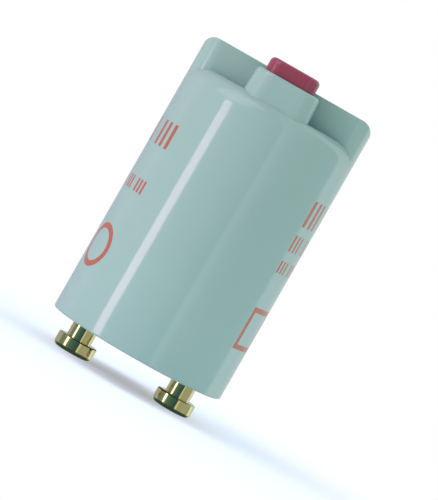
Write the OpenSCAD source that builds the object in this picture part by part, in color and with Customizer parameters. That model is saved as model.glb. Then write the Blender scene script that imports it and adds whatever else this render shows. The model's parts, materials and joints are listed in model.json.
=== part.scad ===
// Fluorescent starter with a reset button, millimetres.
// Origin: centre of the can's open rim. +Z points to the button, X runs along the two pins, the button is at -Y.

/* [Can] */
// Distance from a pin's axis to the can's outer face, which sets the can's diameter
pin_margin = 4.3; // [4:0.05:4.4]
// Thickness of the can's side wall
can_wall = 1; // [0.8:0.05:1.2]
// Height of the low front step of the can
can_h = 31.6; // [31:0.1:34]
// Thickness of the can's roof
roof_t = 1.2; // [0.8:0.1:1.6]
// Radius of the front shoulder
shoulder_r = 2; // [1.2:0.1:2.4]
// Radius inside the can where wall and roof meet
inner_edge_r = 0.5; // [0.3:0.05:0.6]
// Radius of the outer edge of the can's open rim
rim_r = 0.2; // [0.1:0.05:0.3]

/* [Rear step] */
// Height of the rear step above the front one
step_h = 3.4; // [2.8:0.1:4]
// Radius of the step's upright front edges
step_edge_r = 2; // [1.4:0.1:2.4]
// Radius of the step's top corners, seen from the front
step_corner_r = 1.5; // [1.1:0.1:1.5]
// Radius of the step's top edge round the back
step_rim_r = 0.8; // [0.4:0.1:1]

/* [Boss] */
// Distance of the boss's front face behind the can's front
boss_inset = 1.15; // [0.9:0.05:1.4]
// Wall of the boss round the button
boss_wall = 0.85; // [0.7:0.05:1]
// Height of the boss above the front step
boss_h = 3; // [2.4:0.1:3.2]
// Draft of the boss's sides in degrees
boss_draft = 3; // [1:0.5:4]
// Radius of the boss's upright front edges
boss_corner_r = 2.3; // [1.8:0.1:2.6]
// Radius of the boss's top edge
boss_edge_r = 0.45; // [0.3:0.05:0.6]

/* [Reset button] */
// Width of the button
button_w = 6.1; // [5.6:0.1:6.4]
// Depth of the button from front to back
button_d = 3.6; // [3.2:0.1:3.8]
// Radius of the button's upright edges
button_corner_r = 1.5; // [1:0.1:1.6]
// Radius of the button's top edge
button_edge_r = 0.55; // [0.3:0.05:0.7]
// Height of the button above the boss at rest
button_proud = 1.7; // [1.5:0.1:2.2]
// Clearance round the button in its well
button_gap = 0.15; // [0.1:0.01:0.2]
// Travel of the button
button_travel = 1.2; // [0.8:0.1:1.4]
// Width that the button's flange stands out on each side, under the roof
flange_lip = 0.75; // [0.6:0.05:0.8]
// Thickness of the button's flange
flange_t = 0.9; // [0.7:0.1:1.1]
// Clearance between the flange and the roof at rest
flange_gap = 0.1; // [0.05:0.01:0.15]
// Distance of the flange's front edge behind the button's front face
flange_back = 0.4; // [0.3:0.05:0.5]
// Width of the leg that pushes the contact leaf
leg_w = 1; // [0.8:0.1:1.2]
// Distance from the shelf's side to the leg
leg_side = 0.6; // [0.4:0.1:0.8]
// Clearance between the pressed leg and the contact leaf
leg_gap = 0.15; // [0.1:0.01:0.2]

/* [Base and pins] */
// Distance between the two pins
pin_pitch = 12.7; // [12.5:0.05:12.9]
// Diameter of a pin's neck
pin_neck_d = 3; // [2.8:0.1:3.2]
// Diameter of a pin's head
pin_head_d = 4.75; // [4.5:0.05:5]
// Height of a pin's head
pin_head_h = 1.65; // [1.5:0.05:1.8]
// Distance from the can's rim down to a pin's head
pin_neck_h = 2.05; // [1.8:0.05:2.2]
// Radius of the lower edge of a pin's head
pin_edge_r = 0.5; // [0.3:0.05:0.7]
// Radius of the upper edge of a pin's head
pin_rim_r = 0.15; // [0.1:0.05:0.25]
// Diameter of the shank that passes through the base
shank_d = 2.2; // [1.8:0.1:2.4]
// Diameter of the riveted end of a pin
upset_d = 3.2; // [2.8:0.1:3.4]
// Height of the riveted end of a pin
upset_h = 0.6; // [0.4:0.1:0.8]
// Thickness of the base disc
base_t = 1.7; // [1.4:0.1:2]
// Depth of the base disc above the can's rim
base_recess = 0.5; // [0.4:0.05:0.7]
// Depth of the seat cut into the can's wall for the base disc
seat_depth = 0.3; // [0.2:0.05:0.4]
// Height of the snap bead that holds the base disc in its seat
bead_h = 0.15; // [0.1:0.01:0.2]
// Clearance round the base disc
base_gap = 0.05; // [0.02:0.01:0.1]
// Clearance between the can's wall and the pieces inside
inner_gap = 0.5; // [0.4:0.05:0.6]
// Width of a tag's washer outside the pin's riveted end
tag_rim = 0.3; // [0.2:0.05:0.4]
// Thickness of the solder tags
tag_t = 0.4; // [0.3:0.05:0.5]
// Width of a tag's tab
tag_w = 1.6; // [1.4:0.1:1.8]
// Length of a tag's tab from the pin's axis
tag_len = 3; // [2.8:0.1:3.2]
// Height of the upright end of a tag
tag_h = 2.4; // [2:0.1:2.8]

/* [Carrier] */
// Thickness of the carrier's plate
plate_t = 1.2; // [1:0.1:1.4]
// Distance of the plate's rear face in front of the can's axis
plate_y = 0.4; // [0.3:0.05:0.6]
// Clearance between the carrier's foot and the tags beside it
foot_gap = 0.55; // [0.4:0.05:0.7]
// Height of the carrier's foot above the base disc
foot_h = 2.6; // [2.4:0.1:3]
// Depth of the foot's pegs in the base disc
foot_peg_h = 1; // [0.8:0.1:1.2]
// Diameter of the foot's pegs
foot_peg_d = 0.96; // [0.8:0.02:1]
// Half of the width of the shelf under the button
shelf_half = 2; // [1.6:0.1:2.1]
// Thickness of the shelf
shelf_t = 1; // [0.8:0.1:1.2]
// Distance from the button's flange down to the shelf at rest
shelf_room = 3.8; // [3.4:0.1:4.2]
// Thickness of the rib under the shelf
rib_t = 1; // [0.8:0.1:1.2]
// Height of the rib under the shelf
rib_h = 1.8; // [1.4:0.1:2]
// Height of the plate above the shelf
plate_rise = 0.8; // [0.6:0.1:1.2]

/* [Button spring] */
// Outer diameter of the spring
spring_d = 2.2; // [2:0.1:2.4]
// Diameter of the spring's wire
spring_wire = 0.3; // [0.2:0.02:0.36]
// Number of turns
spring_turns = 7; // [5:1:9]
// Clearance round the spring in the button
spring_gap = 0.2; // [0.15:0.01:0.25]
// Depth of the spring's hole in the button
spring_hole = 4; // [3.4:0.1:4.4]
// Clearance round the peg that holds the spring's foot
peg_gap = 0.1; // [0.05:0.01:0.15]
// Height of the peg that holds the spring's foot
peg_h = 1; // [0.8:0.1:1.3]

/* [Thermal cut-out] */
// Distance from the shelf down to the contact leaf's underside
leaf_drop = 2.9; // [2.8:0.05:3.2]
// Thickness of the contact leaf
leaf_t = 0.25; // [0.2:0.01:0.3]
// Width of the contact leaf
leaf_w = 2.2; // [2:0.1:2.4]
// Distance of the leaf's middle behind the button's rear face
leaf_back = 0.1; // [0:0.05:0.2]
// Width of the block under the leaf's fixed end
block_w = 2.8; // [2.6:0.1:3]
// Height of the block under the leaf's fixed end
block_h = 4.6; // [4:0.1:5]
// Distance of the contacts from the can's axis
contact_x = 1.3; // [1.2:0.05:1.5]
// Diameter of the contact heads
contact_d = 1.8; // [1.6:0.1:2]
// Height of the contact heads
contact_h = 0.5; // [0.4:0.05:0.6]
// Diameter of the contacts' shanks
contact_shank = 0.9; // [0.7:0.1:1]
// Height of the contacts' riveted ends
contact_upset = 0.3; // [0.2:0.05:0.35]
// Diameter of the contacts' riveted ends
contact_upset_d = 1.35; // [1.2:0.05:1.5]
// Width of the contact bar
bar_w = 2.4; // [2.2:0.1:2.5]
// Thickness of the contact bar
bar_t = 0.5; // [0.4:0.05:0.6]
// Length of the bar in front of the contact
bar_nose = 0.3; // [0.2:0.05:0.4]
// Length of the bar's tail behind the carrier's plate
bar_tail = 1.3; // [1.2:0.05:1.4]
// Thickness of the bimetal strip
latch_t = 0.35; // [0.3:0.01:0.4]
// Width of the bimetal strip
latch_w = 2; // [1.8:0.1:2.2]
// Height of the strip's lower end above the tags
latch_lift = 0.8; // [0.6:0.1:1.2]
// Reach of the strip's hook over the leaf
hook_reach = 0.7; // [0.5:0.05:0.9]
// Clearance between the strip and the leaf
latch_gap = 0.08; // [0.05:0.01:0.12]
// Height of the block that carries the strip
latch_block_h = 3; // [2.6:0.1:3.4]
// Width of the block that carries the strip
latch_block_w = 1.7; // [1.5:0.1:1.8]
// Diameter of the rivets' heads
rivet_head_d = 2; // [1.8:0.1:2.2]
// Height of the rivets' heads
rivet_head_h = 0.5; // [0.4:0.05:0.6]
// Radius of the rivets' domed edges
rivet_edge_r = 0.3; // [0.2:0.05:0.35]
// Diameter of the rivets' shanks
rivet_d = 1.2; // [1:0.1:1.3]
// Length of the rivets' shanks in the carrier
rivet_len = 1.3; // [1.1:0.05:1.4]
// Diameter of the heater
heater_d = 2.4; // [2.2:0.1:2.5]
// Radius of the heater's edges
heater_edge_r = 0.4; // [0.3:0.05:0.5]
// Length of the heater's upper wire
heater_wire = 2; // [1.8:0.1:2.4]
// Distance from the heater's top up to the contact leaf
heater_room = 5.2; // [4.8:0.1:5.6]
// Clearance between the heater and the strip
heater_gap = 0.3; // [0.2:0.02:0.4]

/* [Glow bulb] */
// Thickness of the glow bulb's glass
glass_t = 0.6; // [0.5:0.05:0.8]
// Height of the glow bulb's envelope above its pinch
bulb_h = 18; // [16:0.5:19]
// Radius of the flat at each end of the envelope
bulb_flat = 0.3; // [0.2:0.05:0.4]
// Diameter of the sealed tip at its root
tip_d = 1.6; // [1.4:0.1:1.8]
// Height of the sealed tip
tip_h = 0.9; // [0.7:0.1:1.1]
// Distance of the glow bulb's axis to the left of the can's axis
bulb_x = 3.3; // [3.2:0.05:3.5]
// Clearance between the glow bulb and the carrier
bulb_gap = 0.3; // [0.2:0.02:0.35]
// Height of the pinch's lower end above the base disc
pinch_z = 2; // [1.8:0.1:2.4]
// Height of the pinch
pinch_h = 4; // [3.6:0.1:4.4]
// Distance of the pinch's edges inside the bulb's side
pinch_inset = 1.5; // [1.3:0.1:1.8]
// Thickness of the pinch
pinch_t = 1.8; // [1.6:0.1:2]
// Distance between the two lead-in wires
lead_pitch = 2.6; // [2.4:0.1:2.8]
// Diameter of the wires
wire_d = 0.5; // [0.4:0.05:0.6]
// Reach of a wire's bend on each side of its corner
wire_bend = 0.6; // [0.4:0.05:0.8]
// Diameter of the straight electrode
rod_d = 0.8; // [0.7:0.05:0.9]
// Distance from the envelope's floor up to the electrodes
electrode_lift = 1.2; // [1:0.1:1.4]
// Length of the straight electrode
rod_len = 9; // [8:0.5:10]
// Thickness of the bimetal electrode
strip_t = 0.3; // [0.25:0.01:0.35]
// Width of the bimetal electrode
strip_w = 1.6; // [1.4:0.1:1.8]
// Height of the free leg's end above the foot of the bimetal electrode
free_lift = 2; // [1.6:0.1:2.4]
// Gap between the two electrodes
electrode_gap = 0.45; // [0.4:0.05:0.6]

/* [Capacitor] */
// Width of the capacitor
cap_w = 4.6; // [4.2:0.1:4.8]
// Thickness of the capacitor
cap_t = 2.6; // [2.2:0.1:2.8]
// Half width of the flat on the capacitor's narrow sides
cap_flat = 0.1; // [0.05:0.01:0.2]
// Length of the capacitor's wires before they turn
cap_wire = 1; // [0.8:0.1:1.2]
// Height of the capacitor's lower end above the base disc
cap_lift = 5.8; // [5.4:0.1:6.2]
// Distance from the capacitor's top up to the contact bar
cap_room = 3.7; // [3.4:0.1:4]

/* [Hidden] */
$fn = 96;
hull_fn = 32;
skin = 0.01;
over = 1;
R = pin_pitch / 2 + pin_margin;
r_in = R - can_wall;
r_seat = r_in + seat_depth;
rear_h = can_h + step_h;
base_top = base_recess + base_t;
boss_top = can_h + boss_h;
well_w = button_w + 2 * button_gap;
well_d = button_d + 2 * button_gap;
boss_front = boss_inset - R;
boss_w = well_w + 2 * boss_wall;
well_y = boss_front + boss_wall + well_d / 2;
step_y = -(boss_front + 2 * boss_wall + well_d);
button_top = boss_top + button_proud;
flange_top = can_h - roof_t - flange_gap;
flange_z = flange_top - flange_t;
r_free = r_in - inner_gap;
function reach(y) = sqrt(pow(r_free, 2) - pow(y, 2));
tag_d = upset_d + 2 * tag_rim;
foot_half = pin_pitch / 2 - tag_d / 2 - foot_gap;
foot_peg_x = foot_half * 0.65;
plate_front = -plate_y - plate_t;
plate_half = reach(plate_front);
shelf_top = flange_z - shelf_room;
plate_top = shelf_top + plate_rise;
leaf_z = shelf_top - shelf_t - leaf_drop;
leaf_top = leaf_z + leaf_t;
leaf_y = -well_y - button_d / 2 - leaf_back;
leaf_root = reach(leaf_y + leaf_w / 2);
latch_x = reach(leaf_y + rivet_head_d / 2) - rivet_head_h - latch_t;
leaf_tip = latch_x - latch_gap;
latch_z = base_top + tag_h + latch_lift;
bar_top = leaf_z - 2 * contact_h;
heater_x = latch_x - heater_gap - heater_d / 2;
heater_z = latch_z + latch_block_h + 2 * wire_d;
heater_len = leaf_z - heater_room - heater_z;
bulb_side = bulb_gap - plate_y;
bulb_r = (pow(r_free, 2) - pow(bulb_x, 2) - pow(bulb_side, 2)) / (2 * (r_free + bulb_side));
bulb_y = bulb_side + bulb_r;
pinch_w = 2 * (bulb_r - pinch_inset);
pinch_foot = base_top + pinch_z;
bulb_z = pinch_foot + pinch_h;
electrode_z = bulb_z + glass_t + electrode_lift;
rod_x = -bulb_x - lead_pitch / 2;
post_x = -bulb_x + lead_pitch / 2;
cap_y = bulb_side + cap_t / 2;
cap_x = reach(bulb_side + cap_t) - cap_w / 2;
cap_z = base_top + cap_lift;
cap_h = bar_top - bar_t - cap_room - cap_z;
hole_gap = 0.02;

// Rectangle with round corners, centred, from true arcs
module round_rect(w, d, r) {
    square([w - 2 * r, d], center = true);
    square([w, d - 2 * r], center = true);
    for (sx = [-1, 1], sy = [-1, 1])
        translate([sx * (w / 2 - r), sy * (d / 2 - r)]) circle(r);
}

// Solid of revolution from z = low to z = high, with its top edge rounded
module round_topped(r, low, high, edge) {
    rotate_extrude() {
        translate([0, low]) square([r, high - low - edge]);
        translate([0, low]) square([r - edge, high - low]);
        translate([r - edge, high - edge]) intersection() {
            circle(edge);
            square(edge);
        }
    }
}

// Plan of the outer side of the step's flat face, with the round hollows that shape its upright edges
module step_cut_plan() {
    side_y = step_edge_r - step_y;
    side_x = sqrt(pow(R - step_edge_r, 2) - pow(side_y, 2));
    reach = R / (R - step_edge_r);
    translate([-R - over, -R - over]) square([2 * (R + over), R + over - step_y]);
    for (side = [-1, 1])
        difference() {
            polygon([
                [side * side_x, -step_y - skin],
                [side * side_x * reach, side_y * reach],
                [side * (R + over), side_y * reach],
                [side * (R + over), -step_y - skin]
            ]);
            translate([side * side_x, side_y]) circle(step_edge_r);
        }
}

// Cutter for the round top corners of the rear step, seen from the front
module step_corner_cut(side) {
    corner = R + 2 * skin - step_corner_r;
    translate([side * corner, 0, rear_h - step_corner_r])
        rotate([90, 0, 0])
                linear_extrude(4 * R, center = true)
                difference() {
                    translate([side > 0 ? 0 : -step_corner_r - over, 0])
                        square([step_corner_r + over, step_corner_r + over]);
                    circle(step_corner_r);
                }
}

module rear_step() {
    difference() {
        round_topped(R, can_h - shoulder_r - over, rear_h, step_rim_r);
        translate([0, 0, can_h - shoulder_r - 2 * over])
            linear_extrude(rear_h) step_cut_plan();
        for (side = [-1, 1]) step_corner_cut(side);
    }
}

// One level of the boss: its plan at a height z, drawn in by its draft and by its top edge
module boss_slice(z, inset) {
    w = boss_w - 2 * inset - 2 * (z - can_h) * tan(boss_draft);
    front = boss_front + inset + (z - can_h) * tan(boss_draft);
    r = boss_corner_r - inset;
    translate([0, 0, z]) linear_extrude(skin) {
        for (side = [-1, 1])
            translate([side * (w / 2 - r), front + r]) circle(r, $fn = 2 * hull_fn);
        translate([-w / 2, front + r]) square([w, -step_y - front - r + boss_wall / 2]);
    }
}

module boss() {
    hull() {
        boss_slice(can_h - shoulder_r, 0);
        for (a = [0:22.5:90])
            boss_slice(boss_top - boss_edge_r + (boss_edge_r - skin) * sin(a), boss_edge_r * (1 - cos(a)));
    }
}

module can_hollow() {
    low = base_top - over;
    round_topped(r_in, low, can_h - roof_t, inner_edge_r);
    difference() {
        round_topped(r_in, low, rear_h - roof_t, inner_edge_r);
        translate([-R, -R, low - over]) cube([2 * R, R - step_y + can_wall, 2 * rear_h]);
    }
}

// Seat for the base disc, with the snap bead in its mouth
module base_seat() {
    rotate_extrude()
        polygon([
            [0, -over], [r_seat, -over], [r_seat, 0], [r_seat - bead_h, base_recess / 2],
            [r_seat, base_recess], [r_seat, base_top], [0, base_top]
        ]);
}

module housing() {
    color([0.62, 0.73, 0.71])
        difference() {
            union() {
                round_topped(R, over, can_h, shoulder_r);
                mirror([0, 0, 1]) round_topped(R, -2 * over, 0, rim_r);
                rear_step();
                boss();
            }
            can_hollow();
            base_seat();
            translate([0, well_y, flange_z]) linear_extrude(boss_top) round_rect(well_w, well_d, button_corner_r + button_gap);
        }
}

// One level of the button's rounded top
module button_slice(z, inset) {
    translate([0, well_y, z]) linear_extrude(skin)
        round_rect(button_w - 2 * inset, button_d - 2 * inset, button_corner_r - inset, $fn = hull_fn);
}

module reset_button() {
    leg_z = leaf_top + button_travel + leg_gap;
    color([0.62, 0.1, 0.17])
        difference() {
            union() {
                translate([0, well_y, flange_z])
                    linear_extrude(button_top - button_edge_r - flange_z) round_rect(button_w, button_d, button_corner_r);
                hull()
                    for (a = [0:15:90])
                        button_slice(button_top - button_edge_r + (button_edge_r - skin) * sin(a), button_edge_r * (1 - cos(a)));
                translate([-button_w / 2 - flange_lip, well_y - button_d / 2 + flange_back, flange_z])
                    cube([button_w + 2 * flange_lip, button_d, flange_t]);
                translate([shelf_half + leg_side, -leaf_y - leg_w / 2, leg_z])
                    cube([leg_w, leg_w, flange_top - flange_t / 2 - leg_z]);
            }
            translate([0, well_y, flange_z - over]) cylinder(d = spring_d + 2 * spring_gap, h = spring_hole + over);
        }
}

function unit(v) = v / norm(v);

// Ring of points round p, square to the direction dir, turned from the reference direction up
function ring(p, dir, d, sides, up) =
    let (u = unit(cross(dir, up)), v = cross(dir, u))
    [for (i = [0:sides - 1]) p + d / 2 * (cos(360 * i / sides) * u + sin(360 * i / sides) * v)];

// Round bar swept along a list of points
module tube(points, d, sides, up) {
    last = len(points) - 1;
    rings = [for (k = [0:last]) each ring(points[k], unit(points[min(k + 1, last)] - points[max(k - 1, 0)]), d, sides, up)];
    polyhedron(rings, concat(
        [[for (i = [0:sides - 1]) i]],
        [for (k = [0:last - 1], i = [0:sides - 1])
            [k * sides + i, (k + 1) * sides + i, (k + 1) * sides + (i + 1) % sides, k * sides + (i + 1) % sides]],
        [[for (i = [sides - 1:-1:0]) last * sides + i]]
    ));
}

// Height of the spring's wire after a number of turns; its first and last turns lie closed
function coil_rise(turn, length) =
    let (rise = length - spring_wire, free = (rise - 2 * spring_wire) / (spring_turns - 2))
    turn < 1 ? turn * spring_wire
    : turn > spring_turns - 1 ? rise - (spring_turns - turn) * spring_wire
    : spring_wire + (turn - 1) * free;

module button_spring() {
    steps = 16;
    r = (spring_d - spring_wire) / 2;
    length = flange_z + spring_hole - shelf_top;
    color([0.72, 0.73, 0.74])
        translate([0, well_y, shelf_top + spring_wire / 2])
            tube(
                [for (k = [0:spring_turns * steps])
                    [r * cos(360 * k / steps), r * sin(360 * k / steps), coil_rise(k / steps, length)]],
                spring_wire, 6, [0, 0, 1]
            );
}

module base_disc() {
    color([0.2, 0.21, 0.22])
        difference() {
            translate([0, 0, base_recess]) cylinder(r = r_seat - base_gap, h = base_t);
            for (side = [-1, 1]) {
                translate([side * pin_pitch / 2, 0, 0]) cylinder(d = shank_d + 2 * hole_gap, h = base_top + over);
                foot_peg(side, hole_gap);
            }
        }
}

// Turned pin: head, neck, shank through the base and the end riveted over the tag
module contact_pin(side) {
    head_r = pin_head_d / 2;
    color([0.79, 0.63, 0.33])
        translate([side * pin_pitch / 2, 0, 0]) {
            translate([0, 0, -pin_neck_h - pin_head_h]) rotate_extrude() {
                square([head_r - pin_edge_r, pin_head_h]);
                translate([0, pin_edge_r]) square([head_r, pin_head_h - pin_edge_r - pin_rim_r]);
                translate([0, pin_edge_r]) square([head_r - pin_rim_r, pin_head_h - pin_edge_r]);
                translate([head_r - pin_edge_r, pin_edge_r]) circle(pin_edge_r);
                translate([head_r - pin_rim_r, pin_head_h - pin_rim_r]) circle(pin_rim_r);
            }
            translate([0, 0, -pin_neck_h - skin]) cylinder(d = pin_neck_d, h = pin_neck_h + base_recess + skin);
            cylinder(d = shank_d, h = base_top + tag_t + upset_h / 2);
            round_topped(upset_d / 2, base_top + tag_t, base_top + tag_t + upset_h, upset_h / 2);
        }
}

module contact_pin_left() contact_pin(-1);
module contact_pin_right() contact_pin(1);

// Solder tag: a washer with a tab that is bent up at its end
module pin_tag(side, toward) {
    color([0.8, 0.68, 0.42])
        translate([side * pin_pitch / 2, 0, base_top])
            difference() {
                union() {
                    cylinder(d = tag_d, h = tag_t);
                    translate([-tag_w / 2, toward > 0 ? 0 : -tag_len, 0]) cube([tag_w, tag_len, tag_t]);
                    translate([-tag_w / 2, toward > 0 ? tag_len - tag_t : -tag_len, 0]) cube([tag_w, tag_t, tag_h]);
                }
                translate([0, 0, -over]) cylinder(d = shank_d + 2 * hole_gap, h = tag_t + 2 * over);
            }
}

module pin_tag_left() pin_tag(-1, 1);
module pin_tag_right() pin_tag(1, -1);

// Peg under the carrier's foot, or its hole with some clearance
module foot_peg(side, gap) {
    translate([side * foot_peg_x, plate_front + plate_t / 2, base_top - foot_peg_h - gap])
        cylinder(d = foot_peg_d + 2 * gap, h = foot_peg_h + 2 * gap);
}

module carrier() {
    shelf_z = shelf_top - shelf_t;
    color([0.86, 0.84, 0.78])
        difference() {
            union() {
                translate([-plate_half, plate_front, base_top + foot_h])
                    cube([2 * plate_half, plate_t, plate_top - base_top - foot_h]);
                translate([-foot_half, plate_front, base_top]) cube([2 * foot_half, plate_t, foot_h + over]);
                for (side = [-1, 1]) foot_peg(side, 0);
                translate([-shelf_half, well_y, shelf_z]) cube([2 * shelf_half, plate_front + skin - well_y, shelf_t]);
                translate([0, well_y, shelf_z]) cylinder(r = shelf_half, h = shelf_t);
                translate([0, well_y, shelf_z]) cylinder(d = spring_d - 2 * spring_wire - 2 * peg_gap, h = shelf_t + peg_h);
                rotate([90, 0, 90]) linear_extrude(rib_t, center = true)
                    polygon([[plate_front + skin, shelf_z + skin], [-leaf_y, shelf_z + skin], [plate_front + skin, shelf_z - rib_h]]);
                translate([-leaf_root, -leaf_y - leaf_w / 2, leaf_z - block_h])
                    cube([block_w, leaf_y + leaf_w / 2 + plate_front + skin, block_h]);
                translate([latch_x - latch_block_w, -leaf_y - latch_w / 2, latch_z])
                    cube([latch_block_w, leaf_y + latch_w / 2 + plate_front + skin, latch_block_h]);
            }
            translate([block_w / 2 - leaf_root, -leaf_y, leaf_z - rivet_len - hole_gap])
                cylinder(d = rivet_d + 2 * hole_gap, h = rivet_len + over);
            translate([latch_x - rivet_len - hole_gap, -leaf_y, latch_z + latch_block_h / 2])
                rotate([0, 90, 0]) cylinder(d = rivet_d + 2 * hole_gap, h = rivet_len + over);
            translate([contact_x - bar_w / 2 - hole_gap, plate_front - over, bar_top - bar_t - hole_gap])
                cube([bar_w + 2 * hole_gap, plate_t + 2 * over, bar_t + 2 * hole_gap]);
        }
}

module contact_spring() {
    color([0.76, 0.55, 0.33])
        translate([0, -leaf_y, leaf_z])
            linear_extrude(leaf_t)
                difference() {
                    translate([(leaf_tip - leaf_root) / 2, 0]) round_rect(leaf_tip + leaf_root, leaf_w, leaf_w / 4);
                    translate([block_w / 2 - leaf_root, 0]) circle(d = rivet_d + 2 * hole_gap);
                    translate([contact_x, 0]) circle(d = contact_shank + 2 * hole_gap);
                }
}

// Rivet with its shank down and a domed head on top, seated at z = 0
module rivet(len) {
    translate([0, 0, -len]) cylinder(d = rivet_d, h = len + rivet_head_h / 2);
    round_topped(rivet_head_d / 2, 0, rivet_head_h, rivet_edge_r);
}

module leaf_rivet() {
    color([0.79, 0.63, 0.33])
        translate([block_w / 2 - leaf_root, -leaf_y, leaf_top]) rivet(leaf_t + rivet_len);
}

// Contact rivet: head up from z = 0, shank down through the strip, and its riveted end
module contact(grip) {
    color([0.84, 0.84, 0.83]) {
        cylinder(d = contact_d, h = contact_h);
        translate([0, 0, -grip - contact_upset / 2]) cylinder(d = contact_shank, h = grip + contact_upset);
        translate([0, 0, -grip - contact_upset]) cylinder(d = contact_upset_d, h = contact_upset);
    }
}

module moving_contact() translate([contact_x, -leaf_y, leaf_z]) mirror([0, 0, 1]) contact(leaf_t);
module fixed_contact() translate([contact_x, -leaf_y, bar_top]) contact(bar_t);

module contact_bar() {
    front = -leaf_y - contact_d / 2 - bar_nose;
    color([0.79, 0.63, 0.33])
        difference() {
            translate([contact_x - bar_w / 2, front, bar_top - bar_t])
                cube([bar_w, bar_tail - plate_y - front, bar_t]);
            translate([contact_x, -leaf_y, bar_top - bar_t - over])
                cylinder(d = contact_shank + 2 * hole_gap, h = bar_t + 2 * over);
        }
}

module bimetal_latch() {
    hook_z = leaf_top + latch_gap;
    color([0.66, 0.65, 0.62])
        difference() {
            union() {
                translate([latch_x, -leaf_y - latch_w / 2, latch_z]) cube([latch_t, latch_w, hook_z + latch_t - latch_z]);
                translate([leaf_tip - hook_reach, -leaf_y - latch_w / 2, hook_z])
                    cube([hook_reach + latch_gap + latch_t, latch_w, latch_t]);
            }
            translate([latch_x - over, -leaf_y, latch_z + latch_block_h / 2])
                rotate([0, 90, 0]) cylinder(d = rivet_d + 2 * hole_gap, h = latch_t + 2 * over);
        }
}

module latch_rivet() {
    color([0.79, 0.63, 0.33])
        translate([latch_x + latch_t, -leaf_y, latch_z + latch_block_h / 2])
            rotate([0, 90, 0]) rivet(latch_t + rivet_len);
}

module heater_resistor() {
    color([0.72, 0.62, 0.5])
        translate([heater_x, -leaf_y, heater_z])
            for (half = [0, 1])
                translate([0, 0, half * heater_len]) mirror([0, 0, 1 - half])
                    translate([0, 0, -heater_len / 2]) round_topped(heater_d / 2, -skin, heater_len / 2, heater_edge_r);
}

// Point on a bend at share t of its way: from a, past the corner b, to c
function bend(a, b, c, t) = (1 - t) * (1 - t) * a + 2 * t * (1 - t) * b + t * t * c;

// Points of a bend round corner i of a path, starting and ending at most wire_bend from the corner
function rounded(path, i) =
    let (
        back = path[i - 1] - path[i],
        ahead = path[i + 1] - path[i],
        reach = min(wire_bend, norm(back) / 2.2, norm(ahead) / 2.2)
    )
    [for (t = [0:0.25:1]) bend(path[i] + reach * unit(back), path[i], path[i] + reach * unit(ahead), t)];

// Round wire along a path, with round bends
module wire(path) {
    last = len(path) - 1;
    color([0.78, 0.77, 0.74])
        tube(concat([path[0]], [for (i = [1:last - 1]) each rounded(path, i)], [path[last]]), wire_d, 8, [0.3, 0.9, 0.31]);
}

module heater_lead_upper() {
    top = heater_z + heater_len;
    weld_x = latch_x - wire_d / 2 - hole_gap;
    wire([
        [heater_x, -leaf_y, top],
        [heater_x, -leaf_y, top + wire_bend],
        [weld_x, -leaf_y, top + 2 * wire_bend],
        [weld_x, -leaf_y, top + heater_wire]
    ]);
}

module heater_lead_lower() {
    front = -leaf_y - latch_w / 2 - wire_d / 2 - heater_gap;
    weld_y = -tag_len - wire_d / 2 - hole_gap;
    wire([
        [heater_x, -leaf_y, heater_z],
        [heater_x, -leaf_y, heater_z - wire_d],
        [heater_x, front, heater_z - 1.5 * wire_d],
        [heater_x, front, base_top + tag_h + wire_d],
        [pin_pitch / 2, weld_y, base_top + tag_h - wire_d],
        [pin_pitch / 2, weld_y, base_top + tag_t + wire_d]
    ]);
}

// Glass envelope as a capsule, drawn in by a distance
module bulb_capsule(inset) {
    w = 2 * (bulb_r - inset);
    h = bulb_h - 2 * inset;
    translate([-bulb_x, bulb_y, bulb_z + bulb_h / 2]) rotate_extrude()
        intersection() {
            round_rect(w, h, w / 2 - bulb_flat);
            translate([0, -h]) square([w, 2 * h]);
        }
}

module glow_bulb() {
    color([0.86, 0.89, 0.9])
        difference() {
            union() {
                bulb_capsule(0);
                translate([-bulb_x, bulb_y, bulb_z + bulb_h - glass_t]) cylinder(d1 = tip_d, d2 = tip_d - tip_h, h = glass_t + tip_h);
                translate([-bulb_x, bulb_y, pinch_foot])
                    linear_extrude(pinch_h + glass_t) round_rect(pinch_w, pinch_t, pinch_t / 3);
            }
            bulb_capsule(glass_t);
            for (x = [rod_x, post_x])
                translate([x, bulb_y, pinch_foot - over]) cylinder(d = wire_d + 2 * hole_gap, h = electrode_z - pinch_foot + over);
        }
}

module fixed_electrode() {
    color([0.6, 0.6, 0.6]) translate([rod_x, bulb_y, electrode_z]) cylinder(d = rod_d, h = rod_len);
}

// Strip bent into a narrow arch: the post stands on its lead, the free leg hangs beside the rod
module bimetal_electrode() {
    free_x = rod_x + rod_d / 2 + electrode_gap + strip_t / 2;
    bend_r = (post_x - free_x) / 2;
    color([0.66, 0.65, 0.62])
        translate([0, bulb_y, electrode_z])
            rotate([90, 0, 0]) linear_extrude(strip_w, center = true) {
                translate([post_x - strip_t / 2, 0]) square([strip_t, rod_len]);
                translate([free_x - strip_t / 2, free_lift]) square([strip_t, rod_len - free_lift]);
                translate([free_x + bend_r, rod_len]) intersection() {
                    difference() {
                        circle(bend_r + strip_t / 2);
                        circle(bend_r - strip_t / 2);
                    }
                    translate([-bend_r - over, 0]) square([2 * (bend_r + over), bend_r + over]);
                }
            }
}

module bulb_lead_left() {
    weld_y = tag_len + wire_d / 2 + hole_gap;
    weld_z = base_top + tag_h / 2;
    wire([
        [rod_x, bulb_y, electrode_z],
        [rod_x, bulb_y, pinch_foot - wire_d],
        [tag_w / 2 - pin_pitch / 2, weld_y, weld_z],
        [-tag_w / 2 - pin_pitch / 2, weld_y, weld_z]
    ]);
}

module bulb_lead_right() {
    weld_x = contact_x - bar_w / 4;
    weld_y = -plate_y + wire_d / 2 + bulb_gap;
    wire([
        [post_x, bulb_y, electrode_z],
        [post_x, bulb_y, pinch_foot - wire_d],
        [weld_x, weld_y, pinch_foot - wire_d],
        [weld_x, weld_y, bar_top - bar_t - hole_gap]
    ]);
}

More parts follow.
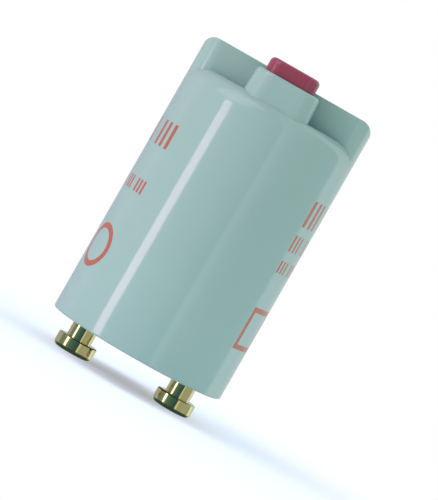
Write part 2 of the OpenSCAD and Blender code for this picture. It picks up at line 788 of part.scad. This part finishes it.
module capacitor() {
    color([0.68, 0.3, 0.14])
        translate([cap_x, cap_y, cap_z]) linear_extrude(cap_h) round_rect(cap_w, cap_t, cap_t / 2 - cap_flat);
}

module capacitor_lead_upper() {
    top = cap_z + cap_h;
    weld_x = contact_x + bar_w / 4;
    weld_y = -plate_y + wire_d / 2 + bulb_gap;
    weld_z = bar_top - bar_t - hole_gap;
    wire([[cap_x, cap_y, top], [cap_x, cap_y, top + cap_wire], [weld_x, weld_y, weld_z - cap_wire], [weld_x, weld_y, weld_z]]);
}

module capacitor_lead_lower() {
    weld_y = tag_len - tag_t - wire_d / 2 - hole_gap;
    weld_z = base_top + tag_h - wire_d;
    wire([
        [cap_x, cap_y, cap_z],
        [cap_x, cap_y, cap_z - 1.5 * cap_wire],
        [tag_w - pin_pitch / 2, cap_y, cap_z - 2.5 * cap_wire],
        [tag_w / 2 - pin_pitch / 2, weld_y, weld_z],
        [-tag_w / 2 - pin_pitch / 2, weld_y, weld_z]
    ]);
}

housing();
reset_button();
button_spring();
base_disc();
contact_pin_left();
contact_pin_right();
pin_tag_left();
pin_tag_right();
carrier();
contact_spring();
leaf_rivet();
moving_contact();
fixed_contact();
contact_bar();
bimetal_latch();
latch_rivet();
heater_resistor();
heater_lead_upper();
heater_lead_lower();
glow_bulb();
fixed_electrode();
bimetal_electrode();
bulb_lead_left();
bulb_lead_right();
capacitor();
capacitor_lead_upper();
capacitor_lead_lower();
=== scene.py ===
"""Fluorescent starter with a reset button: a mint plastic can, a crimson button and two brass pins."""

import json
import math

import bmesh
import bpy
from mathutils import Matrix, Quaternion, Vector

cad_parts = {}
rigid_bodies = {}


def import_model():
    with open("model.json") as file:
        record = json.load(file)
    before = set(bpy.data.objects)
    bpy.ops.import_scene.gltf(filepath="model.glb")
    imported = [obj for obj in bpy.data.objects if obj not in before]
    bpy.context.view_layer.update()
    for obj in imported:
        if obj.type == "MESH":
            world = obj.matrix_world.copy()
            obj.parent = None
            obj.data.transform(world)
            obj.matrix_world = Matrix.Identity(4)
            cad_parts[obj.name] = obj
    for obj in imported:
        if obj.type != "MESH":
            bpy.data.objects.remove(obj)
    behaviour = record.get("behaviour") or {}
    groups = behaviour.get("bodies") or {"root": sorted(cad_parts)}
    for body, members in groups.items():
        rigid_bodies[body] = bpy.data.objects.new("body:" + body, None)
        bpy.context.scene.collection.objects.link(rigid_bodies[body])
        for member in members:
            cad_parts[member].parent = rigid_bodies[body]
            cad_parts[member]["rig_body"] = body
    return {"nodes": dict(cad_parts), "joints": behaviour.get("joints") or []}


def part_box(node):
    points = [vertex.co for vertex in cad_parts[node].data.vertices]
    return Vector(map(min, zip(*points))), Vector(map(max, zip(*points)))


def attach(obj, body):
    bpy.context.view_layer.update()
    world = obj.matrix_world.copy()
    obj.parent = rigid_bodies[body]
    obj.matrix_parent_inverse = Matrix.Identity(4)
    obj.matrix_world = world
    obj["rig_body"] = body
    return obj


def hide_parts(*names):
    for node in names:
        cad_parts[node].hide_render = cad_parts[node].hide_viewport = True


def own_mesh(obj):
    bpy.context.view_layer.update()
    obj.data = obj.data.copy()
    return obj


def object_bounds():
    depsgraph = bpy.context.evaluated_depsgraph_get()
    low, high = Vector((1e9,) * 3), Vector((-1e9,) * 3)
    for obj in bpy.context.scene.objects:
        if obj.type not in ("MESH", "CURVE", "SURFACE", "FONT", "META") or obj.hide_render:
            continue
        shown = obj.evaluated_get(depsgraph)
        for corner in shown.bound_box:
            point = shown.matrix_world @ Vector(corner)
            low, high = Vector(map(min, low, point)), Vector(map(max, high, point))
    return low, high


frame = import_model()
nodes = frame["nodes"]
cad_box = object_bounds()
MM = 0.001


# The camera. A long lens stands almost level in front of the starter, a little to its right, and is rolled
# so that the starter leans to the right in the picture.
CAMERA_TURN = math.radians(1.0)
CAMERA_RISE = math.radians(2.3)
CAMERA_ROLL = math.radians(29.8)
CAMERA_DISTANCE = 440 * MM
CAMERA_TARGET = Vector((2.3, 0, 14.5)) * MM
FRAME_HEIGHT = 55.9 * MM

camera_data = bpy.data.cameras.new("camera")
camera_data.lens = camera_data.sensor_width * CAMERA_DISTANCE / FRAME_HEIGHT
camera_data.clip_start = 10 * MM
camera = bpy.data.objects.new("camera", camera_data)
bpy.context.scene.collection.objects.link(camera)
level = math.cos(CAMERA_RISE)
toward = Vector((math.sin(CAMERA_TURN) * level, -math.cos(CAMERA_TURN) * level, math.sin(CAMERA_RISE)))
camera.location = CAMERA_TARGET + CAMERA_DISTANCE * toward
camera.rotation_mode = "QUATERNION"
camera.rotation_quaternion = (-toward).to_track_quat("-Z", "Y") @ Quaternion((0, 0, 1), CAMERA_ROLL)
bpy.context.scene.camera = camera


# The can. One glossy moulding in mint plastic, printed on both flanks in orange red. The print is plain
# strokes, a ring and a square, in the places where the real can is printed.
class Value:
    """A shader socket that takes part in arithmetic."""

    def __init__(self, shading, socket):
        self.shading = shading
        self.socket = socket

    def math(self, operation, *others):
        sockets = dict(enumerate((self, *others)))
        return self.shading.node("ShaderNodeMath", {"operation": operation}, sockets)

    def __add__(self, other):
        return self.math("ADD", other)

    def __sub__(self, other):
        return self.math("SUBTRACT", other)

    def __rsub__(self, other):
        return self.shading.node("ShaderNodeMath", {"operation": "SUBTRACT"}, {0: other, 1: self})

    def __mul__(self, other):
        return self.math("MULTIPLY", other)

    def __truediv__(self, other):
        return self.math("DIVIDE", other)

    __radd__ = __add__
    __rmul__ = __mul__

    def between(self, low, high):
        return self.math("GREATER_THAN", low) * self.math("LESS_THAN", high)

    def rise(self, low, high):
        """From 0 at low to 1 at high, smoothly."""
        settings = {"interpolation_type": "SMOOTHSTEP"}
        return self.shading.node("ShaderNodeMapRange", settings, {0: self, 1: low, 2: high})


class Shading:
    """The node tree of a material or of the world."""

    def __init__(self, tree):
        self.tree = tree

    def node(self, kind, settings, sockets, output=0):
        made = self.tree.nodes.new(kind)
        for name, setting in settings.items():
            if name == "stops":
                ramp = made.color_ramp
                while len(ramp.elements) < len(setting):
                    ramp.elements.new(1)
                for element, (position, colour) in zip(ramp.elements, setting):
                    element.position = position
                    element.color = colour
            else:
                setattr(made, name, setting)
        for key, value in sockets.items():
            self.feed(made.inputs[key], value)
        return Value(self, made.outputs[output])

    def feed(self, socket, value):
        if isinstance(value, Value):
            self.tree.links.new(value.socket, socket)
        else:
            socket.default_value = value

    def mix(self, share, first, second):
        return self.node("ShaderNodeMix", {"data_type": "RGBA"}, {0: share, 6: first, 7: second}, 2)

    def split(self, vector):
        return [self.node("ShaderNodeSeparateXYZ", {}, {0: vector}, axis) for axis in range(3)]


class Finish(Shading):
    """A material with one Principled shader, laid out on the piece's own coordinates."""

    def __init__(self, name):
        self.material = bpy.data.materials.new(name)
        self.material.use_nodes = True
        super().__init__(self.material.node_tree)
        self.shader = self.tree.nodes["Principled BSDF"]
        self.place = self.node("ShaderNodeTexCoord", {}, {}, "Object")

    def noise(self, scale, detail=2.0):
        return self.node("ShaderNodeTexNoise", {}, {"Vector": self.place, "Scale": scale, "Detail": detail})

    def bump(self, height, strength, distance):
        sockets = {"Height": height, "Strength": strength, "Distance": distance}
        return self.node("ShaderNodeBump", {}, sockets)

    def set(self, **sockets):
        for key, value in sockets.items():
            self.feed(self.shader.inputs[key.replace("_", " ").title().replace("Ior", "IOR")], value)

    def put_on(self, *pieces):
        for piece in pieces:
            piece.data.materials.clear()
            piece.data.materials.append(self.material)


SAME_POINT = 0.001 * MM
SAME_PLANE = math.radians(0.3)
CREASE = math.radians(32)
LARGE_FACES_LEAD = 85


def smoothed(node):
    """The piece that stands for a CAD node, with the node's own faces, shaded smooth across its curves.

    The large faces lead the shading at their edges, so that a wall mirrors evenly up to a rounded edge.
    """
    mesh = bmesh.new()
    mesh.from_mesh(nodes[node].data)
    bmesh.ops.remove_doubles(mesh, verts=mesh.verts, dist=SAME_POINT)
    bmesh.ops.join_triangles(
        mesh, faces=mesh.faces, angle_face_threshold=SAME_PLANE, angle_shape_threshold=math.pi)
    for face in mesh.faces:
        face.smooth = True
    for edge in mesh.edges:
        edge.smooth = len(edge.link_faces) == 2 and edge.calc_face_angle() < CREASE
    data = bpy.data.meshes.new(node + "_surface")
    mesh.to_mesh(data)
    mesh.free()
    piece = bpy.data.objects.new(node + "_surface", data)
    bpy.context.scene.collection.objects.link(piece)
    even = piece.modifiers.new("even_normals", "WEIGHTED_NORMAL")
    even.keep_sharp = True
    even.weight = LARGE_FACES_LEAD
    shaded = piece.evaluated_get(bpy.context.evaluated_depsgraph_get())
    shaded_data = bpy.data.meshes.new_from_object(shaded)
    piece.modifiers.clear()
    piece.data = shaded_data
    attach(piece, nodes[node]["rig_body"])
    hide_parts(node)
    return piece


CAN_COLOUR = (0.292, 0.455, 0.427, 1)
CAN_PALE = (0.307, 0.47, 0.442, 1)
PRINT_COLOUR = (0.39, 0.085, 0.045, 1)
PRINT_WIDTH = 10.6 * MM
can_low, can_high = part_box("housing")
CAN_RADIUS = (can_high.x - can_low.x) / 2
LEFT_START = math.radians(50) * CAN_RADIUS
RIGHT_START = math.radians(58) * CAN_RADIUS


def stroke_row(around, height, low, high, pitch, stroke):
    """A row of upright strokes in groups of three, from the print's front edge towards the back."""
    strokes = (around / pitch).math("FRACT").math("LESS_THAN", stroke / pitch)
    groups = (around / (4 * pitch)).math("FRACT").math("LESS_THAN", 0.75)
    return height.between(low, high) * around.between(0, PRINT_WIDTH) * strokes * groups


def ring_mark(around, height, across, middle, radius, line):
    sideways = around - across
    upwards = height - middle
    reach = (sideways * sideways + upwards * upwards).math("SQRT")
    return reach.between(radius - line, radius)


def square_mark(around, height, across, middle, half, line):
    sideways = (around - across).math("ABSOLUTE")
    upwards = (height - middle).math("ABSOLUTE")
    return sideways.math("MAXIMUM", upwards).between(half - line, half)


can = Finish("can_plastic")
x, y, z = can.split(can.place)
around = x.math("ARCTAN2", 0 - y).math("ABSOLUTE") * CAN_RADIUS
left, right = around - LEFT_START, around - RIGHT_START
left_print = (
    stroke_row(left, z, 21.4 * MM, 24.4 * MM, 1.25 * MM, 0.6 * MM)
    + stroke_row(left, z, 15.7 * MM, 17.3 * MM, 0.72 * MM, 0.38 * MM)
    + ring_mark(left, z, 2.7 * MM, 8.6 * MM, 2.7 * MM, 0.7 * MM)
)
right_print = (
    stroke_row(right, z, 21.5 * MM, 24.7 * MM, 1.25 * MM, 0.6 * MM)
    + stroke_row(right, z, 18.4 * MM, 20.4 * MM, 0.85 * MM, 0.4 * MM)
    + stroke_row(right, z, 15.7 * MM, 17.2 * MM, 0.72 * MM, 0.38 * MM)
    + square_mark(right, z, 2.6 * MM, 8.7 * MM, 2.6 * MM, 0.6 * MM)
)
is_left = x.math("LESS_THAN", 0)
outside = (x * x + y * y).math("GREATER_THAN", (0.99 * CAN_RADIUS) ** 2)
ink = (is_left * left_print + (1 - is_left) * right_print) * outside * (0.88 + 0.1 * can.noise(2600, 3))
can.set(
    base_color=can.mix(ink, can.mix(can.noise(180), CAN_COLOUR, CAN_PALE), PRINT_COLOUR),
    roughness=0.07 + 0.03 * can.noise(900) + 0.12 * ink,
    normal=can.bump(can.noise(700, 2), 0.05, 0.01 * MM),
)
housing = smoothed("housing")
can.put_on(housing)


# The reset button. A crimson moulding with softly rounded edges, free in its well in the boss.
BUTTON_COLOUR = (0.255, 0.047, 0.083, 1)
BUTTON_PALE = (0.287, 0.057, 0.096, 1)
crimson = Finish("button_plastic")
crimson.set(
    base_color=crimson.mix(crimson.noise(300), BUTTON_COLOUR, BUTTON_PALE),
    roughness=0.2 + 0.08 * crimson.noise(1200),
    normal=crimson.bump(crimson.noise(1600, 3), 0.12, 0.02 * MM),
)
button = smoothed("reset_button")
crimson.put_on(button)


# The button spring. Steel wire wound with closed end turns. It stands on the carrier's shelf, in the button's
# blind hole.
SPRING_TURNS = 7
SPRING_STEPS = 40
WIRE_SIDES = 14
SPRING_WIRE = 0.3 * MM
spring_low, spring_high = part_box("button_spring")
SPRING_LENGTH = spring_high.z - spring_low.z
press = next(joint for joint in frame["joints"] if joint["name"] == "button_press")


def rolled(name, colour, dull, roughness, *pieces):
    """A drawn or rolled metal with fine streaks along its length."""
    finish = Finish(name)
    grain = finish.node("ShaderNodeMapping", {}, {"Vector": finish.place, "Scale": (300, 300, 6000)})
    streaks = finish.node("ShaderNodeTexNoise", {}, {"Vector": grain, "Scale": 1.0, "Detail": 2.0})
    finish.set(
        base_color=finish.mix(streaks, colour, dull),
        metallic=1.0,
        roughness=roughness + 0.12 * streaks,
        normal=finish.bump(streaks, 0.1, 0.01 * MM),
    )
    finish.put_on(*pieces)
    return finish.material


def wound_spring(material):
    """A tree that winds a wire: its first and last turns lie closed, and the others share the free height."""
    tree = bpy.data.node_groups.new("wound_spring", "GeometryNodeTree")
    tree.interface.new_socket("Geometry", in_out="OUTPUT", socket_type="NodeSocketGeometry")
    for name in ("Coil radius", "Wire radius", "Length", "Turns"):
        tree.interface.new_socket(name, in_out="INPUT", socket_type="NodeSocketFloat")
    given = tree.nodes.new("NodeGroupInput").outputs

    def put(kind, sockets, **settings):
        made = tree.nodes.new(kind)
        for name, setting in settings.items():
            setattr(made, name, setting)
        for key, value in sockets.items():
            if isinstance(value, bpy.types.NodeSocket):
                tree.links.new(value, made.inputs[key])
            else:
                made.inputs[key].default_value = value
        return made.outputs[0]

    def calc(operation, *terms):
        return put("ShaderNodeMath", dict(enumerate(terms)), operation=operation)

    def part_of(turn, start, end):
        return put("ShaderNodeMapRange", {0: turn, 1: start, 2: end, 3: 0.0, 4: calc("SUBTRACT", end, start)})

    turn = calc("DIVIDE", put("GeometryNodeInputIndex", {}), float(SPRING_STEPS))
    wire = calc("MULTIPLY", given["Wire radius"], 2.0)
    last = calc("SUBTRACT", given["Turns"], 1.0)
    free_height = calc("SUBTRACT", given["Length"], calc("MULTIPLY", wire, 3.0))
    pitch = calc("DIVIDE", free_height, calc("SUBTRACT", given["Turns"], 2.0))
    closed = calc("ADD", part_of(turn, 0.0, 1.0), part_of(turn, last, given["Turns"]))
    climb = calc("ADD", calc("MULTIPLY", closed, wire), calc("MULTIPLY", part_of(turn, 1.0, last), pitch))
    angle = calc("MULTIPLY", turn, 2 * math.pi)
    place = put("ShaderNodeCombineXYZ", {
        0: calc("MULTIPLY", given["Coil radius"], calc("COSINE", angle)),
        1: calc("MULTIPLY", given["Coil radius"], calc("SINE", angle)),
        2: calc("ADD", climb, given["Wire radius"]),
    })
    points = calc("ADD", calc("MULTIPLY", given["Turns"], float(SPRING_STEPS)), 1.0)
    line = put("GeometryNodeMeshLine", {"Count": points})
    wound = put("GeometryNodeSetPosition", {"Geometry": line, "Position": place})
    path = put("GeometryNodeMeshToCurve", {"Mesh": wound})
    section = put(
        "GeometryNodeCurvePrimitiveCircle", {"Resolution": WIRE_SIDES, "Radius": given["Wire radius"]})
    swept = put("GeometryNodeCurveToMesh", {"Curve": path, "Profile Curve": section, "Fill Caps": True})
    whole = put("GeometryNodeRealizeInstances", {"Geometry": swept})
    painted = put("GeometryNodeSetMaterial", {"Geometry": whole, "Material": material})
    tree.links.new(painted, tree.nodes.new("NodeGroupOutput").inputs[0])
    return tree


steel = rolled("spring_steel", (0.52, 0.52, 0.53, 1), (0.45, 0.45, 0.46, 1), 0.25)
winding = bpy.data.objects.new("winding", bpy.data.meshes.new("winding"))
bpy.context.scene.collection.objects.link(winding)
modifier = winding.modifiers.new("wound_spring", "NODES")
modifier.node_group = wound_spring(steel)
sizes = {
    "Coil radius": (spring_high.x - spring_low.x - SPRING_WIRE) / 2,
    "Wire radius": SPRING_WIRE / 2,
    "Length": SPRING_LENGTH,
    "Turns": float(SPRING_TURNS),
}
for socket in modifier.node_group.interface.items_tree:
    if socket.in_out == "INPUT":
        modifier[socket.identifier] = sizes[socket.name]
wound = winding.evaluated_get(bpy.context.evaluated_depsgraph_get())
spring_mesh = bpy.data.meshes.new_from_object(wound)
bpy.data.objects.remove(winding)
for corner in spring_mesh.vertices:
    corner.co += Vector((0, (spring_low.y + spring_high.y) / 2, spring_low.z))
for face in spring_mesh.polygons:
    face.use_smooth = True
spring = bpy.data.objects.new("button_spring_wire", spring_mesh)
bpy.context.scene.collection.objects.link(spring)
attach(spring, "can")
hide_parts("button_spring")
1 - max(map(abs, press["range_m"])) / SPRING_LENGTH
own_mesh(spring)


# The contact pins. Turned brass with fine lathe rings on the head, riveted over inside the base.
BRASS_COLOUR = (0.66, 0.61, 0.31, 1)
BRASS_DULL = (0.58, 0.53, 0.25, 1)
LATHE_PITCH = 0.09 * MM
brass = Finish("pin_brass")
height = brass.split(brass.place)[2]
rings = (height * (2 * math.pi / LATHE_PITCH)).math("SINE")
brass.set(
    base_color=brass.mix(brass.noise(700), BRASS_COLOUR, BRASS_DULL),
    metallic=1.0,
    roughness=0.08 + 0.05 * brass.noise(1500),
    normal=brass.bump(rings, 0.1, 0.003 * MM),
)
for side in ("left", "right"):
    pin = smoothed("contact_pin_" + side)
    brass.put_on(pin)


# The plain mouldings: the dark base disc snapped into the can's seat, the pale carrier that stands on it, and
# the bodies of the heater and of the capacitor.
def moulded(node, slot, colour, pale, roughness):
    finish = Finish(slot)
    finish.set(
        base_color=finish.mix(finish.noise(400, 4), colour, pale),
        roughness=roughness + 0.1 * finish.noise(1500),
        normal=finish.bump(finish.noise(2200, 3), 0.3, 0.02 * MM),
    )
    piece = smoothed(node)
    finish.put_on(piece)


moulded("base_disc", "base_plastic", (0.045, 0.05, 0.055, 1), (0.06, 0.065, 0.07, 1), 0.4)
moulded("carrier", "carrier_plastic", (0.66, 0.62, 0.52, 1), (0.72, 0.69, 0.6, 1), 0.4)
moulded("heater_resistor", "heater_body", (0.5, 0.38, 0.25, 1), (0.58, 0.45, 0.31, 1), 0.5)
moulded("capacitor", "capacitor_body", (0.38, 0.08, 0.02, 1), (0.44, 0.1, 0.03, 1), 0.2)


# The metal pieces inside: stamped tags and bar, rolled leaf and bimetal, rivets, contacts, electrodes and
# wires.
METAL_PIECES = {
    "tag_brass": ((0.68, 0.5, 0.22, 1), (0.6, 0.43, 0.18, 1), 0.25, (
        "pin_tag_left", "pin_tag_right", "contact_bar", "leaf_rivet", "latch_rivet")),
    "leaf_bronze": ((0.6, 0.36, 0.17, 1), (0.52, 0.3, 0.13, 1), 0.25, ("contact_spring",)),
    "bimetal": ((0.44, 0.43, 0.41, 1), (0.36, 0.35, 0.33, 1), 0.3, ("bimetal_latch", "bimetal_electrode")),
    "contact_silver": ((0.82, 0.82, 0.81, 1), (0.76, 0.76, 0.75, 1), 0.15, (
        "moving_contact", "fixed_contact")),
    "electrode_nickel": ((0.5, 0.5, 0.49, 1), (0.43, 0.43, 0.42, 1), 0.25, ("fixed_electrode",)),
    "tinned_wire": ((0.62, 0.62, 0.6, 1), (0.54, 0.54, 0.52, 1), 0.3, (
        "heater_lead_upper", "heater_lead_lower", "bulb_lead_left", "bulb_lead_right",
        "capacitor_lead_upper", "capacitor_lead_lower")),
}
for slot, (colour, dull, roughness, made_of_it) in METAL_PIECES.items():
    rolled(slot, colour, dull, roughness, *(nodes[name] for name in made_of_it))


# The glow bulb. Clear glass drawn off to a tip at the top and pinched round its two lead-in wires.
glass = Finish("bulb_glass")
glass.set(
    base_color=(0.93, 0.97, 0.98, 1),
    roughness=0.02 + 0.03 * glass.noise(500),
    ior=1.5,
    transmission_weight=0.95,
    normal=glass.bump(glass.noise(250, 1), 0.05, 0.02 * MM),
)
bulb = smoothed("glow_bulb")
glass.put_on(bulb)


# The stage: a small pale floor under the pin heads that fades into a white room, and soft lamps round the
# starter. The floor can be seen through from below. The room that the gloss mirrors is dim in front of the
# starter, with a sharp step to a bright side on the right, and bright at its two sides.
FLOOR_COLOUR = (0.72, 0.84, 1.0, 1)
FLOOR_GLOW = 0.36
FLOOR_HALF = 60 * MM
FADE_START = 18 * MM
FADE_END = 52 * MM

floor_material = bpy.data.materials.new("floor_paper")
floor_material.use_nodes = True
paper = Shading(floor_material.node_tree)
shader = paper.tree.nodes["Principled BSDF"]
shader.inputs["Base Color"].default_value = FLOOR_COLOUR
shader.inputs["Roughness"].default_value = 1
shader.inputs["Specular IOR Level"].default_value = 0
shader.inputs["Emission Color"].default_value = (1, 1, 1, 1)
shader.inputs["Emission Strength"].default_value = FLOOR_GLOW
spot = paper.split(paper.node("ShaderNodeTexCoord", {}, {}, "Object"))
reach = (spot[0] * spot[0] + spot[1] * spot[1]).math("SQRT")
seen_from_below = paper.node("ShaderNodeNewGeometry", {}, {}, "Backfacing")
paper.feed(shader.inputs["Alpha"], (1 - reach.rise(FADE_START, FADE_END)) * (1 - seen_from_below))

floor_data = bpy.data.meshes.new("floor")
floor_z = cad_box[0].z
corners = [(-1, -1), (1, -1), (1, 1), (-1, 1)]
floor_data.from_pydata([(FLOOR_HALF * u, FLOOR_HALF * v, floor_z) for u, v in corners], [], [(0, 1, 2, 3)])
floor_data.materials.append(floor_material)
floor = bpy.data.objects.new("floor", floor_data)
floor.visible_glossy = False
bpy.context.scene.collection.objects.link(floor)


def soft_box(name, azimuth, elevation, distance, width, height, radiance, colour):
    """A soft box at an azimuth to the right of the front, in degrees, that faces the starter's middle."""
    data = bpy.data.lights.new(name, "AREA")
    data.shape = "RECTANGLE"
    data.size = width
    data.size_y = height
    data.energy = radiance * math.pi * width * height
    data.color = colour
    box = bpy.data.objects.new(name, data)
    turn, lift = math.radians(azimuth), math.radians(elevation)
    way = Vector((math.sin(turn) * math.cos(lift), -math.cos(turn) * math.cos(lift), math.sin(lift)))
    box.location = Vector((0, 0, 15 * MM)) + way * distance
    box.rotation_mode = "QUATERNION"
    box.rotation_quaternion = (-way).to_track_quat("-Z", "Y")
    bpy.context.scene.collection.objects.link(box)
    return box


soft_box("strip", -54.2, -3.05, 0.62, 0.118, 0.096, 6.0, (1, 0.67, 0.82))
soft_box("key", -57, 42, 0.9, 0.72, 0.98, 1.22, (1, 0.96, 0.94))
soft_box("side", -66, 10, 0.9, 0.6, 0.6, 3.3, (1, 0.67, 0.81)).visible_glossy = False
soft_box("fill", 96, 30, 0.8, 0.9, 0.8, 1.12, (0.98, 1, 0.98)).visible_glossy = False
soft_box("bounce", 3, -12, 0.5, 0.6, 0.16, 1.2, (1, 1, 1)).visible_glossy = False


def room_stop(azimuth, colour):
    """The colour of the mirrored wall at an azimuth to the right of the front, in degrees."""
    return ((azimuth + 180) / 360, (*colour, 1))


world = bpy.data.worlds.new("studio")
bpy.context.scene.world = world
world.use_nodes = True
room = Shading(world.node_tree)
east, north, up = room.split(room.node("ShaderNodeTexCoord", {}, {}, "Generated"))
turned = east.math("ARCTAN2", 0 - north) / (2 * math.pi) + 0.5
walls = room.node("ShaderNodeValToRGB", {"stops": [
    room_stop(-180, (0.6, 0.65, 0.7)),
    room_stop(-150, (0.46, 0.47, 0.58)),
    room_stop(-110, (0.62, 0.6, 0.69)),
    room_stop(-90, (0.2, 0.3, 0.33)),
    room_stop(-63.5, (0.28, 0.34, 0.34)),
    room_stop(-62, (0.8, 0.85, 0.9)),
    room_stop(-47, (0.8, 0.85, 0.9)),
    room_stop(-45.5, (0.22, 0.34, 0.36)),
    room_stop(-28, (0.1, 0.21, 0.24)),
    room_stop(20.3, (0.03, 0.1, 0.15)),
    room_stop(20.8, (1.1, 1.12, 1.1)),
    room_stop(34, (0.5, 0.51, 0.47)),
    room_stop(80, (0.52, 0.55, 0.5)),
    room_stop(111, (0.42, 0.5, 0.56)),
    room_stop(118, (1.35, 1.4, 1.35)),
    room_stop(138, (0.85, 0.9, 0.88)),
    room_stop(150, (0.75, 0.8, 0.8)),
    room_stop(180, (0.6, 0.65, 0.7)),
]}, {"Fac": turned})
MIRRORED_GROUND = (0.05, 0.09, 0.1, 1)
SOFT_ROOM = (0.435, 0.465, 0.475, 1)
SOFT_GROUND = (0.76, 0.79, 0.78, 1)
WHITE = (1, 1, 1, 1)
mirrored = room.mix(up.rise(-0.15, -0.5), walls, MIRRORED_GROUND)
rays = {name: room.node("ShaderNodeLightPath", {}, {}, name) for name in (
    "Is Camera Ray", "Is Glossy Ray", "Is Transmission Ray")}
soft = room.mix(up.rise(-0.02, -0.2), SOFT_ROOM, SOFT_GROUND)
lit = room.mix(rays["Is Glossy Ray"], soft, mirrored)
seen = rays["Is Camera Ray"].math("MAXIMUM", rays["Is Transmission Ray"])
room.feed(room.tree.nodes["Background"].inputs["Color"], room.mix(seen, lit, WHITE))

bpy.context.scene.view_settings.view_transform = "Standard"
